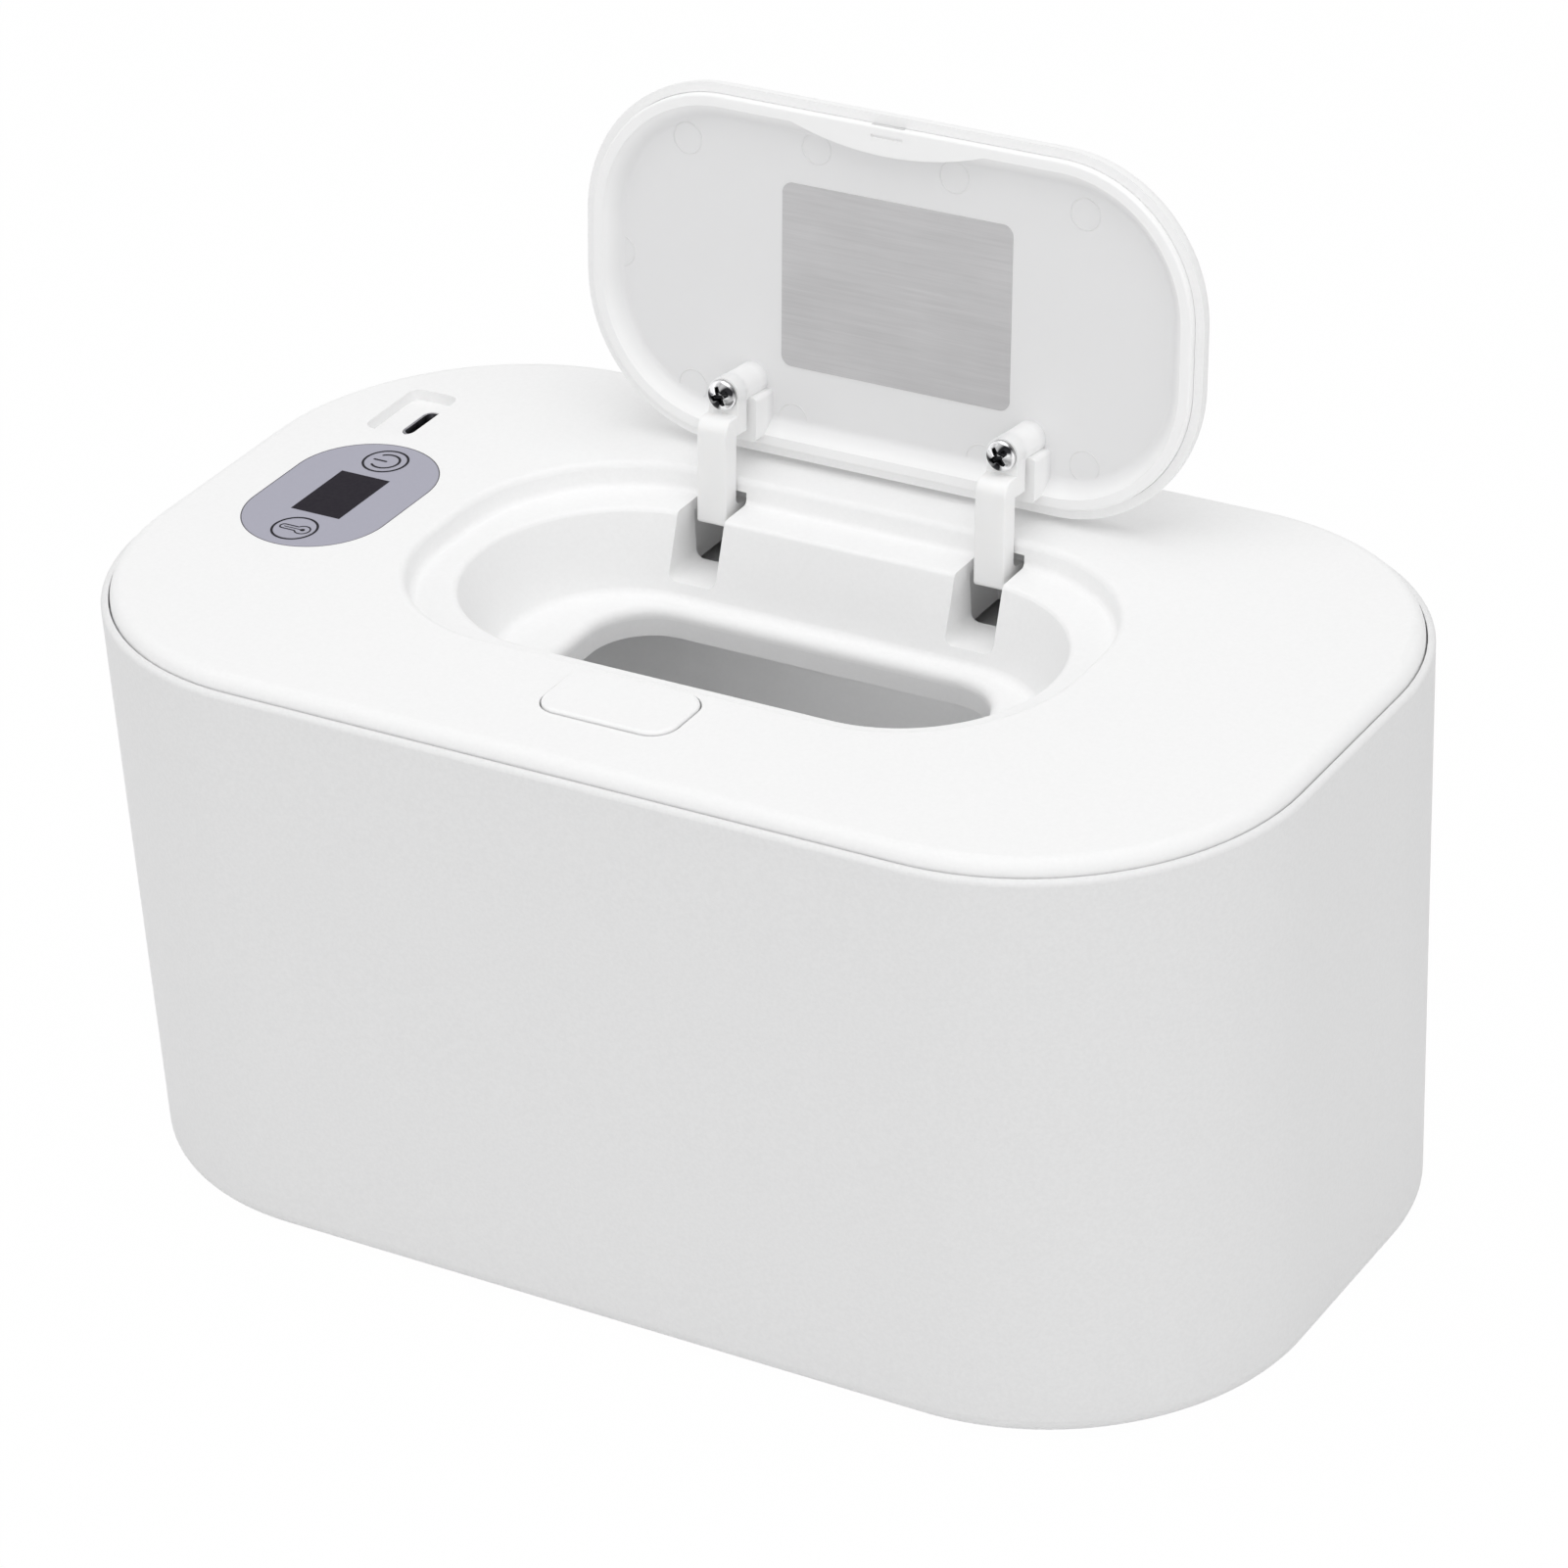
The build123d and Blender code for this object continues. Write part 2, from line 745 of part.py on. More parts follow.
def sensor_slot():
    """Centre and size of the slot through which the sensor rests on the film."""
    return sensor_x, -sensor_y, sensor_length + part_gap, sensor_width + part_gap


def fuse_slot():
    """Centre and size of the slot through which the fuse rests on the film."""
    return fuse_x, sensor_y, fuse_length + part_gap, 2 * fuse_radius + part_gap


def cover_gasket():
    outer = grown((deck_length, deck_width, deck_corner), -deck_skirt - gasket_gap)
    ring = prism(*outer, deck_bottom + 0.05, deck_under)
    return ring - prism(*grown(outer, -gasket_width), deck_bottom - 1, deck_under + 1)


def cover_screws():
    shape = screw(cover_screw_radius - 0.02, cover_screw_length, cover_screw_head, cover_screw_head_height)
    return Compound(children=[Pos(x, y, cover_floor_z) * upward(shape) for x, y in cover_screw_places()])


def heat_plate():
    ring = prism(plate_length, plate_width, plate_corner, plate_bottom, plate_top, 0, well_center_y)
    mouth = grown((slot_length, slot_width, slot_corner), collar_rim_wall + plate_gap)
    ring -= prism(*mouth, plate_bottom - 1, plate_top + 1, 0, well_center_y)
    for x, y in plate_screw_places():
        ring -= post(x, y, small_screw_radius + 0.15, plate_bottom - 1, plate_top + 1)
    return ring


def heating_film():
    outer = grown((plate_length, plate_width, plate_corner), -film_inset)
    film = prism(*outer, plate_top, cover_floor_z, 0, well_center_y)
    mouth = grown((slot_length, slot_width, slot_corner), collar_rim_wall + plate_gap + film_inset / 2)
    film -= prism(*mouth, plate_top - 1, cover_floor_z + 1, 0, well_center_y)
    for x, y in plate_screw_places():
        film -= post(x, y, small_screw_radius + 0.8, plate_top - 1, cover_floor_z + 1)
    return film


def plate_screw_places():
    """The four corners where the plate is held."""
    return [(x, y + well_center_y) for x in (-plate_screw_x, plate_screw_x)
            for y in (-plate_screw_y, plate_screw_y)]


def plate_screws():
    length = plate_thickness + film_thickness + plate_screw_grip
    shape = upward(screw(small_screw_radius, length, small_screw_head, small_screw_head_height))
    return Compound(children=[Pos(x, y, plate_bottom) * shape for x, y in plate_screw_places()])


def temperature_sensor():
    bead = prism(sensor_length, sensor_width, 0.2, cover_floor_z, cover_floor_z + sensor_height, sensor_x,
                 -sensor_y)
    return fillet(bead.edges().group_by(Axis.Z)[-1].filter_by(Axis.X), 0.9)


def thermal_fuse():
    middle_z = cover_floor_z + fuse_radius
    return rod(fuse_x - fuse_length / 2, fuse_x + fuse_length / 2, sensor_y, middle_z, fuse_radius)


def control_board():
    low = board_low_z
    board = prism(board_width, board_length, 2.0, low, board_top_z, panel_x)
    for x in (-board_post_x, board_post_x):
        for y in (-board_post_y, board_post_y):
            board -= post(panel_x + x, y, small_screw_radius + 0.15, low - 1, board_top_z + 1)
    board += prism(chip_size, chip_size, 0.1, low - chip_height, low, panel_x)
    board += prism(plug_width, plug_length, 0.1, low - plug_height, low, panel_x + plug_x, plug_y)
    return board + post(panel_x + capacitor_x, capacitor_y, capacitor_radius, low - capacitor_height, low)


def display_module():
    body = block(panel_x - display_width / 2, panel_x + display_width / 2, -display_length / 2,
                 display_length / 2, board_top_z, deck_top - panel_thickness)
    return chamfer(body.edges().group_by(Axis.Z)[-1], 0.3)


def display_lens():
    return block(panel_x - display_width / 2, panel_x + display_width / 2, -display_length / 2,
                 display_length / 2, deck_top - panel_thickness, deck_top)


def control_panel():
    panel = prism(panel_width - 2 * panel_gap, panel_length - 2 * panel_gap, panel_width / 2,
                  deck_top - panel_thickness, deck_top, panel_x)
    half_x = display_width / 2
    half_y = display_length / 2
    return panel - block(panel_x - half_x, panel_x + half_x, -half_y, half_y, deck_top - 2, deck_top + 1)


def touch_springs():
    height = deck_top - panel_thickness - board_top_z - touch_wire
    wire = coil(touch_coil_radius, touch_wire, height, touch_turns)
    low = board_top_z + touch_wire / 2
    return Compound(children=[Pos(panel_x, y, low) * wire for y in (-icon_y, icon_y)])


def board_screws():
    shape = screw(small_screw_radius, board_screw_length, small_screw_head, small_screw_head_height)
    shape = upward(shape)
    places = [Pos(panel_x + x, y, board_low_z) * shape
              for x in (-board_post_x, board_post_x) for y in (-board_post_y, board_post_y)]
    low = socket_low_z - socket_board_thickness
    places += [Pos(socket_board_x + socket_post_x, socket_board_y + y, low) * shape
               for y in (-socket_post_y, socket_post_y)]
    return Compound(children=places)


def usb_socket():
    top = deck_top - socket_pocket_depth
    low = socket_low_z
    corner = socket_width / 2 - 0.02
    shell = prism(socket_width, socket_length, corner, low, top, socket_x, socket_y)
    shell -= prism(socket_width - 2 * socket_shell, socket_length - 2 * socket_shell, corner - socket_shell,
                   low + 1.2, top + 1, socket_x, socket_y)
    tongue = prism(tongue_width, tongue_length, 0.3, low + 1.0, low + 1.0 + tongue_height, socket_x, socket_y)
    return shell + tongue


def usb_board():
    top = socket_low_z
    low = top - socket_board_thickness
    board = prism(socket_board_width, socket_board_length, 1.0, low, top, socket_board_x, socket_board_y)
    hole_x = socket_board_x + socket_post_x
    for y in (-socket_post_y, socket_post_y):
        board -= post(hole_x, socket_board_y + y, small_screw_radius + 0.15, low - 1, top + 1)
    return board


def lead(points, radii):
    """One insulated wire along straight runs joined by arcs."""
    path = FilletPolyline(*points, radius=radii)
    section = Plane(origin=path @ 0, z_dir=path % 0) * Circle(lead_radius)
    return sweep(section, path=path)


def heater_leads():
    """Two wires from the board's connector down through the inner cover to the film."""
    x = panel_x + plug_x
    high = board_low_z - plug_height
    run = high - lead_drop
    wires = []
    for y in (-lead_spacing / 2, lead_spacing / 2):
        points = [(x, y + plug_y, high), (x, y + plug_y, run), (-plate_screw_x, y, run),
                  (-plate_screw_x, y, cover_floor_z)]
        wires.append(lead(points, [heater_lead_bend, heater_lead_bend]))
    return Compound(children=wires)


def usb_leads():
    """Two wires from the socket's board to the control board."""
    high = socket_low_z - socket_board_thickness
    run = high - lead_drop
    start_y = socket_y - usb_lead_start
    wires = []
    for x in (socket_x - lead_spacing / 2, socket_x + lead_spacing / 2):
        points = [(x, start_y, high), (x, start_y, run), (x, usb_lead_end_y, run),
                  (x, usb_lead_end_y, board_low_z)]
        wires.append(lead(points, [usb_lead_bend, usb_lead_bend]))
    return Compound(children=wires)


# Hinge -----------------------------------------------------------------

def hinge_pin():
    reach = pin_outer + pocket_wall
    pin = rod(-reach, reach + pin_overhang, pin_y, pin_z, pin_radius)
    pin += rod(-reach - pin_head_length, -reach, pin_y, pin_z, pin_head_radius)
    start = reach + groove_start
    groove = rod(start, start + clip_thickness, pin_y, pin_z, pin_radius)
    return pin - (groove - rod(reach, reach + 2, pin_y, pin_z, pin_radius - groove_depth))


def pin_clip():
    start = pin_outer + pocket_wall + groove_start
    ring = rod(start, start + clip_thickness, pin_y, pin_z, clip_radius)
    ring -= rod(start - 1, start + 1, pin_y, pin_z, pin_radius - groove_depth)
    return ring - block(start - 1, start + 1, pin_y - 0.6, pin_y + 0.6, pin_z - clip_radius - 1, pin_z)


def lid_spring(side):
    """A torsion spring round the pin, one leg on the pocket roof and one under the arm."""
    length = spring_turns * (spring_wire + spring_spacing)
    radius = pin_radius + spring_wire / 2 + spring_clearance
    turns = Helix(pitch=length / spring_turns, height=length, radius=radius)
    moving_leg = Line(turns @ 0 - (turns % 0) * spring_leg, turns @ 0)
    fixed_leg = Line(turns @ 1, turns @ 1 + (turns % 1) * (pocket_end_y - pin_y))
    section = Plane(origin=moving_leg @ 0, z_dir=moving_leg % 0) * Circle(spring_wire / 2)
    wire = sweep(section, path=Wire([moving_leg, *turns.edges(), fixed_leg]), is_frenet=True)
    gap = (pin_bay_width - arm_width) / 2
    start = (gap - length) / 2
    turned = Pos(0, pin_y, pin_z) * Rot(0, 90, 0) * wire
    return Pos(pin_inner + start if side > 0 else -pin_inner - start - length, 0, 0) * turned


def hinge_arm(side):
    """A gooseneck arm: eye under the lid boss, bar under the liner, leg up to the barrel."""
    x0 = side * arm_x - arm_width / 2
    x1 = side * arm_x + arm_width / 2
    outer_y = pin_y + leg_behind_pin
    inner_y = outer_y - leg_thickness
    bar_top = arm_bar_z + arm_thickness
    shelf_y = arm_tip_y + eye_radius + eye_gap
    neck_y = shelf_y + arm_neck
    eye_top = eye_z + eye_thickness
    profile = [(shelf_y, arm_bar_z), (outer_y, arm_bar_z), (outer_y, pin_z), (inner_y, pin_z),
               (inner_y, bar_top), (neck_y, bar_top), (neck_y, eye_top), (arm_tip_y, eye_top),
               (arm_tip_y, eye_z), (shelf_y, eye_z)]
    arm = side_profile(profile, x0, x1)
    bends = ((outer_y, arm_bar_z, arm_bend), (inner_y, bar_top, arm_inner_bend),
             (shelf_y, arm_bar_z, arm_shelf_bend))
    for y, z, radius in bends:
        corner = [e for e in arm.edges().filter_by(Axis.X)
                  if abs(e.center().Y - y) < 0.01 and abs(e.center().Z - z) < 0.01]
        arm = fillet(corner, radius)
    outer_face = [e for e in arm.edges() if e.center().Z < arm_bar_z + 0.01
                  and abs(e.center().X - side * arm_x) > arm_width / 2 - 0.01]
    arm = fillet(outer_face, arm_edge_round)
    arm += rod(x0, x1, pin_y, pin_z, barrel_radius)
    arm += post(side * arm_x, arm_tip_y, eye_radius, eye_z, eye_top)
    arm -= rod(x0 - 1, x1 + 1, pin_y, pin_z, pin_radius + pin_clearance)
    arm -= post(side * arm_x, arm_tip_y, arm_screw_radius + 0.1, eye_z - 1, eye_top + 1)
    return opened(arm)


# Lid -------------------------------------------------------------------

def lid_shell():
    shell = prism(lid_length, lid_width, lid_corner, shell_low, shell_top, 0, well_center_y)
    shell = fillet(shell.edges().group_by(Axis.Z)[-1], lid_round)
    inside = grown((lid_length, lid_width, lid_corner), -lid_wall)
    hollow = prism(*inside, shell_low - 1, shell_under, 0, well_center_y)
    shell -= fillet(hollow.edges().group_by(Axis.Z)[-1], lid_round - lid_wall)
    return opened(shell)


def lid_liner():
    ring_size = grown((lid_length, lid_width, lid_corner), -ring_inset)
    plate_top_z = liner_z + liner_thickness
    liner = prism(*ring_size, ring_z, plate_top_z, 0, well_center_y)
    liner = fillet(liner.edges().group_by(Axis.Z)[0], ring_edge_round)
    liner = chamfer(liner.edges().group_by(Axis.Z)[-1], lid_round - lid_wall)
    mouth = grown(ring_size, -ring_face)
    below = 0.5
    tray = tapered(grown(mouth, below * ring_slope / ring_depth), ring_z - below, grown(mouth, -ring_slope),
                   liner_z, well_center_y)
    tray = fillet(tray.edges().group_by(Axis.Z)[-1], tray_round)
    liner -= tray - latch_bump()
    liner -= block(-catch_width / 2, catch_width / 2, ring_front_y - 1, bolt_tip_y + slide_gap,
                   bolt_low_z - catch_gap, bolt_top_z + catch_gap)
    mark_y = ring_front_y + mark_inset
    liner -= block(-mark_width / 2, mark_width / 2, mark_y, mark_y + mark_length, ring_z - 1,
                   ring_z + mark_depth)
    for side in (-1, 1):
        x = side * arm_x
        liner += post(x, arm_tip_y, boss_radius, eye_z + eye_thickness, liner_z + 0.2)
        liner += prism(pad_width, pad_length, pad_round, liner_z - pad_height, liner_z + 0.2, x,
                       pad_front_y + pad_length / 2)
        liner -= post(x, arm_tip_y, arm_screw_radius - 0.02, eye_z, liner_z + liner_thickness - 0.6)
    return opened(liner)


def latch_bump():
    """The thick middle of the ring's front edge that the bolt enters."""
    front = ring_front_y
    reach = front + ring_face + bump_depth
    radius = (bump_length ** 2 / 4 + bump_depth ** 2) / (2 * bump_depth)
    swell = post(0, reach - radius, radius, ring_z - 1, liner_z + 1)
    return swell & block(-bump_length / 2, bump_length / 2, front, reach + 1, ring_z - 1, liner_z + 1)


def arm_screws():
    shape = screw(arm_screw_radius - 0.04, arm_screw_length, arm_screw_head, arm_screw_head_height)
    heads = [Pos(side * arm_x, arm_tip_y, eye_z) * upward(shape) for side in (-1, 1)]
    return Compound(children=[opened(head) for head in heads])


# Latch -----------------------------------------------------------------

def latch_button():
    top = deck_top + button_proud
    low = top - button_skirt_drop
    under = top - button_cap
    cap = prism(*button_outline(0), low, top, 0, button_y)
    cap = fillet(cap.edges().group_by(Axis.Z)[-1], button_round)
    cap -= prism(*button_outline(-button_wall), low - 1, under, 0, button_y)
    slope_y = wedge_tip_y - wedge_rise * wedge_ratio
    wedge = [(wedge_back_y, wedge_bottom_z), (wedge_back_y, under + 0.1), (slope_y, under + 0.1),
             (slope_y, wedge_bottom_z + wedge_rise), (wedge_tip_y, wedge_bottom_z)]
    cap += side_profile(wedge, -wedge_width / 2, wedge_width / 2)
    half = bolt_width / 2 + bolt_notch
    rear = button_y + button_width / 2
    return cap - block(-half, half, rear - button_wall - 0.1, rear + 1, low - 1, low + bolt_notch_height)


def latch_slider():
    """A sliding plate with the ramp that the button pushes and the bolt that holds the lid."""
    normal = math.hypot(1.0, wedge_ratio)
    shift_y = -slide_gap / normal
    shift_z = -slide_gap * wedge_ratio / normal
    ramp_low_y = wedge_tip_y + shift_y + (wedge_bottom_z + shift_z - slider_top_z) * wedge_ratio
    ramp_high_y = ramp_low_y - slider_block_height * wedge_ratio
    half = slider_width / 2
    plate = block(-half, half, slider_front_y, bolt_rear_y, slider_low, slider_top_z)
    ramp = [(slider_front_y, slider_top_z - 0.1), (ramp_low_y + 0.05, slider_top_z - 0.1),
            (ramp_low_y, slider_top_z), (ramp_high_y, slider_block_top_z),
            (slider_front_y, slider_block_top_z)]
    bolt = [(bolt_rear_y - bolt_post, slider_low), (bolt_rear_y, slider_low), (bolt_rear_y, bolt_low_z),
            (bolt_tip_y, bolt_low_z), (bolt_tip_y, bolt_top_z - bolt_nose_drop),
            (bolt_tip_y - bolt_nose, bolt_top_z), (bolt_rear_y - bolt_post, bolt_top_z)]
    slider = plate + side_profile(ramp, -wedge_width / 2, wedge_width / 2)
    slider += side_profile(bolt, -bolt_width / 2, bolt_width / 2)
    peg = Pos(0, slider_front_y - peg_length / 2, slider_mid_z()) * Rot(90, 0, 0)
    return slider + peg * Cylinder(peg_radius, peg_length)


def slider_mid_z():
    """Height of the spring in front of the slider."""
    return (slider_low + slider_block_top_z) / 2 - 1.0


def latch_guide():
    half = slider_width / 2 + slider_play
    floor_top_z = slider_low - slider_play
    low = floor_top_z - guide_floor
    ear_low = guide_ear_z - guide_ear_thickness
    side_x = half + guide_wall
    guide = block(-side_x, side_x, guide_front_y, bolt_rear_y, low, guide_ear_z)
    guide -= block(-half, half, guide_front_y + guide_front_wall, bolt_rear_y + 1, floor_top_z,
                   guide_ear_z + 1)
    ear = block(half + 0.5, side_x + guide_ear, button_y - guide_ear_length / 2,
                button_y + guide_ear_length / 2, ear_low, guide_ear_z)
    ear -= post(guide_hole_x, button_y, cover_screw_radius, ear_low - 1, guide_ear_z + 1)
    return guide + ear + sided(ear, -1)


def latch_screws():
    shape = screw(cover_screw_radius - 0.32, latch_screw_length, cover_screw_head - 0.5,
                  cover_screw_head_height - 0.3)
    low = guide_ear_z - guide_ear_thickness
    heads = [Pos(x, button_y, low) * upward(shape) for x in (-guide_hole_x, guide_hole_x)]
    return Compound(children=heads)


def slider_spring():
    start = guide_front_y + guide_front_wall
    length = slider_front_y - start
    wire = coil(coil_radius - coil_wire / 2 - 0.1, coil_wire, length - coil_wire - 0.1, slider_coil_turns)
    return Pos(0, start + coil_wire / 2 + 0.05, slider_mid_z()) * Rot(-90, 0, 0) * wire


def button_springs():
    length = deck_top + button_proud - button_cap - guide_ear_z
    wire = coil(coil_radius - coil_wire / 2, coil_wire, length - coil_wire - 0.1, button_coil_turns)
    low = guide_ear_z + coil_wire / 2 + 0.05
    return Compound(children=[Pos(x, button_y, low) * wire for x in (-button_coil_x, button_coil_x)])


nodes = {
    "outer_body": outer_body, "inner_tub": inner_tub, "feet": feet, "top_deck": top_deck,
    "inner_cover": inner_cover, "cover_gasket": cover_gasket, "cover_screws": cover_screws,
    "heat_plate": heat_plate, "heating_film": heating_film, "plate_screws": plate_screws,
    "temperature_sensor": temperature_sensor, "thermal_fuse": thermal_fuse,
    "control_board": control_board, "display_module": display_module, "display_lens": display_lens,
    "control_panel": control_panel, "touch_springs": touch_springs, "board_screws": board_screws,
    "usb_socket": usb_socket, "usb_board": usb_board, "heater_leads": heater_leads, "usb_leads": usb_leads,
    "hinge_pin": hinge_pin, "pin_clip": pin_clip, "lid_shell": lid_shell, "lid_liner": lid_liner,
    "arm_screws": arm_screws, "latch_button": latch_button, "latch_slider": latch_slider,
    "latch_guide": latch_guide, "latch_screws": latch_screws, "slider_spring": slider_spring,
    "button_springs": button_springs,
}

for name, make in nodes.items():
    save(make(), name)
for side, word in ((-1, "left"), (1, "right")):
    save(hinge_arm(side), f"hinge_arm_{word}")
    save(lid_spring(side), f"lid_spring_{word}")
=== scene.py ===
import bpy, bmesh, json
import numpy as np
from math import radians, sin, cos, pi
from mathutils import Matrix, Vector


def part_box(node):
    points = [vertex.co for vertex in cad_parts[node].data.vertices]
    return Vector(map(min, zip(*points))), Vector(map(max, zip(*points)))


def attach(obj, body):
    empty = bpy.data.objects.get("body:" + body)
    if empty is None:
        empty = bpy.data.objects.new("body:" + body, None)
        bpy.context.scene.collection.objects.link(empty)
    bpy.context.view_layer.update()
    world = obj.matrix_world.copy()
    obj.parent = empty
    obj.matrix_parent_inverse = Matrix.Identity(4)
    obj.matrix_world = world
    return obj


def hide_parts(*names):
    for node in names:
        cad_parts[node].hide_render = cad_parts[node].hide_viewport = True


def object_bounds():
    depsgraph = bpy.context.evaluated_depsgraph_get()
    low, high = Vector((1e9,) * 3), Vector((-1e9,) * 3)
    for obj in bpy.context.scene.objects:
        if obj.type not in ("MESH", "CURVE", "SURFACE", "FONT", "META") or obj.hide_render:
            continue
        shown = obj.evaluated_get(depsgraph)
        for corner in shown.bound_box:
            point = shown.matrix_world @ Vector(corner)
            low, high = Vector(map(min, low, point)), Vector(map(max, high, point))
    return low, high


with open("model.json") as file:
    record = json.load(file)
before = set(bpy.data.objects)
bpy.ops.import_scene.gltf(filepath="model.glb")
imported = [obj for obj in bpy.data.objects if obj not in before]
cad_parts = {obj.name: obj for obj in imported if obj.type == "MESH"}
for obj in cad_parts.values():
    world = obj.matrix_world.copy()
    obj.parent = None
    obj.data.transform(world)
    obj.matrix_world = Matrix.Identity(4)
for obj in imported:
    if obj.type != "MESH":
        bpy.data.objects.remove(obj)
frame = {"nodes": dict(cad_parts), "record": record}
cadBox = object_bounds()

nodes = frame["nodes"]
scene = bpy.context.scene
mm = 0.001


# ---- studio

camera = {
    "place": (0.4761, -0.7521, 0.5707),
    "azimuth": 32.161,   # degrees round from the front
    "elevation": 29.436,
    "roll": -3.178,
    "lens": 144.92,      # mm on a 36 mm sensor
}


def addCamera():
    # right and up axes from the azimuth and elevation, then both turned by the roll about the view axis
    az, el, roll = (radians(camera[k]) for k in ("azimuth", "elevation", "roll"))
    back = Vector((sin(az) * cos(el), -cos(az) * cos(el), sin(el)))
    right = Vector((cos(az), sin(az), 0))
    up = Vector((-sin(az) * sin(el), cos(az) * sin(el), cos(el)))
    rolledRight = right * cos(roll) + up * sin(roll)
    rolledUp = up * cos(roll) - right * sin(roll)
    data = bpy.data.cameras.new("camera")
    data.lens = camera["lens"]
    data.sensor_width = 36
    data.clip_start, data.clip_end = 0.05, 20
    view = bpy.data.objects.new("camera", data)
    turn = Matrix((rolledRight, rolledUp, back)).transposed()
    view.matrix_world = Matrix.Translation(camera["place"]) @ turn.to_4x4()
    scene.collection.objects.link(view)
    scene.camera = view


studio = {
    "world": 0.60,
    "backdrop": 1.0,      # what the camera sees behind the part
    "floorHalf": 3.0,
    "floorTone": (0.86, 0.86, 0.86),
    "floorGlow": 0.99,    # how far the floor is lifted to white for the camera
    "lamps": {            # place, size in metres, watts
        "topSoftbox": ((0.05, -0.10, 1.10), 1.1, 4.1),
        "leftSoftbox": ((-1.1, -0.7, 0.75), 0.9, 1.4),
        "frontSoftbox": ((0.5, -1.5, 0.55), 1.2, 2.6),
        "rightSoftbox": ((1.25, -0.25, 0.55), 0.9, 1.6),
    },
    "aim": (0, 0, 0.08),
    "tubGlow": ((0.0, 0.0, 0.076), 0.10, 0.0145),   # light that the thin tub walls let in
}


def seenByCamera(tree):
    # 1 where a camera, glossy or transmission ray arrives, 0 for the light that falls on the part
    path = tree.nodes.new("ShaderNodeLightPath")
    first = tree.nodes.new("ShaderNodeMath")
    first.operation = "MAXIMUM"
    second = tree.nodes.new("ShaderNodeMath")
    second.operation = "MAXIMUM"
    tree.links.new(path.outputs["Is Camera Ray"], first.inputs[0])
    tree.links.new(path.outputs["Is Glossy Ray"], first.inputs[1])
    tree.links.new(first.outputs[0], second.inputs[0])
    tree.links.new(path.outputs["Is Transmission Ray"], second.inputs[1])
    return second.outputs[0]


def addLamp(name, place, size, watts):
    data = bpy.data.lights.new(name, "AREA")
    data.shape = "DISK"
    data.size = size
    data.energy = watts
    lamp = bpy.data.objects.new(name, data)
    lamp.location = place
    scene.collection.objects.link(lamp)
    return lamp


def addStudio():
    world = bpy.data.worlds.new("studioWorld")
    world.use_nodes = True
    tree = world.node_tree
    tree.nodes.clear()
    out = tree.nodes.new("ShaderNodeOutputWorld")
    mix = tree.nodes.new("ShaderNodeMixShader")
    light = tree.nodes.new("ShaderNodeBackground")
    light.inputs["Strength"].default_value = studio["world"]
    seen = tree.nodes.new("ShaderNodeBackground")
    seen.inputs["Strength"].default_value = studio["backdrop"]
    for shade in (light, seen):
        shade.inputs["Color"].default_value = (1, 1, 1, 1)
    tree.links.new(seenByCamera(tree), mix.inputs["Fac"])
    tree.links.new(light.outputs[0], mix.inputs[1])
    tree.links.new(seen.outputs[0], mix.inputs[2])
    tree.links.new(mix.outputs[0], out.inputs["Surface"])
    scene.world = world
    for name, values in studio["lamps"].items():
        lamp = addLamp(name, *values)
        aim = Vector(studio["aim"]) - Vector(values[0])
        lamp.rotation_euler = aim.to_track_quat("-Z", "Y").to_euler()
    addLamp("tubGlow", *studio["tubGlow"]).visible_camera = False
    scene.view_settings.view_transform = "Standard"
    print("studio set")


def addFloor():
    half, low = studio["floorHalf"], cadBox[0][2]
    mesh = bpy.data.meshes.new("floor")
    corners = [(-half, -half, low), (half, -half, low), (half, half, low), (-half, half, low)]
    mesh.from_pydata(corners, [], [(0, 1, 2, 3)])
    floor = bpy.data.objects.new("floor", mesh)
    scene.collection.objects.link(floor)
    material = bpy.data.materials.new("paleFloor")
    material.use_nodes = True
    tree = material.node_tree
    tree.nodes.clear()
    out = tree.nodes.new("ShaderNodeOutputMaterial")
    matte = tree.nodes.new("ShaderNodeBsdfDiffuse")
    matte.inputs["Color"].default_value = (*studio["floorTone"], 1)
    glow = tree.nodes.new("ShaderNodeEmission")
    glow.inputs["Strength"].default_value = 1.0
    amount = tree.nodes.new("ShaderNodeMath")
    amount.operation = "MULTIPLY"
    amount.inputs[1].default_value = studio["floorGlow"]
    mix = tree.nodes.new("ShaderNodeMixShader")
    tree.links.new(seenByCamera(tree), amount.inputs[0])
    tree.links.new(amount.outputs[0], mix.inputs["Fac"])
    tree.links.new(matte.outputs[0], mix.inputs[1])
    tree.links.new(glow.outputs[0], mix.inputs[2])
    tree.links.new(mix.outputs[0], out.inputs["Surface"])
    mesh.materials.append(material)


# ---- shapes

lidJoint = next(j for j in frame["record"]["behaviour"]["joints"] if j["name"] == "lid_hinge")
hinge = {
    "y": lidJoint["pos_m"][1] / mm,              # the lid's pin
    "z": lidJoint["pos_m"][2] / mm,
    "open": radians(lidJoint["range_deg"][1]),   # how far the lid stands open
}


def opened(points):
    # closed lid to open lid: y and z turned about the pin by the opening angle
    y, z = points[..., 1] - hinge["y"], points[..., 2] - hinge["z"]
    turned = points.copy()
    turned[..., 1] = y * cos(hinge["open"]) + z * sin(hinge["open"]) + hinge["y"]
    turned[..., 2] = z * cos(hinge["open"]) - y * sin(hinge["open"]) + hinge["z"]
    return turned


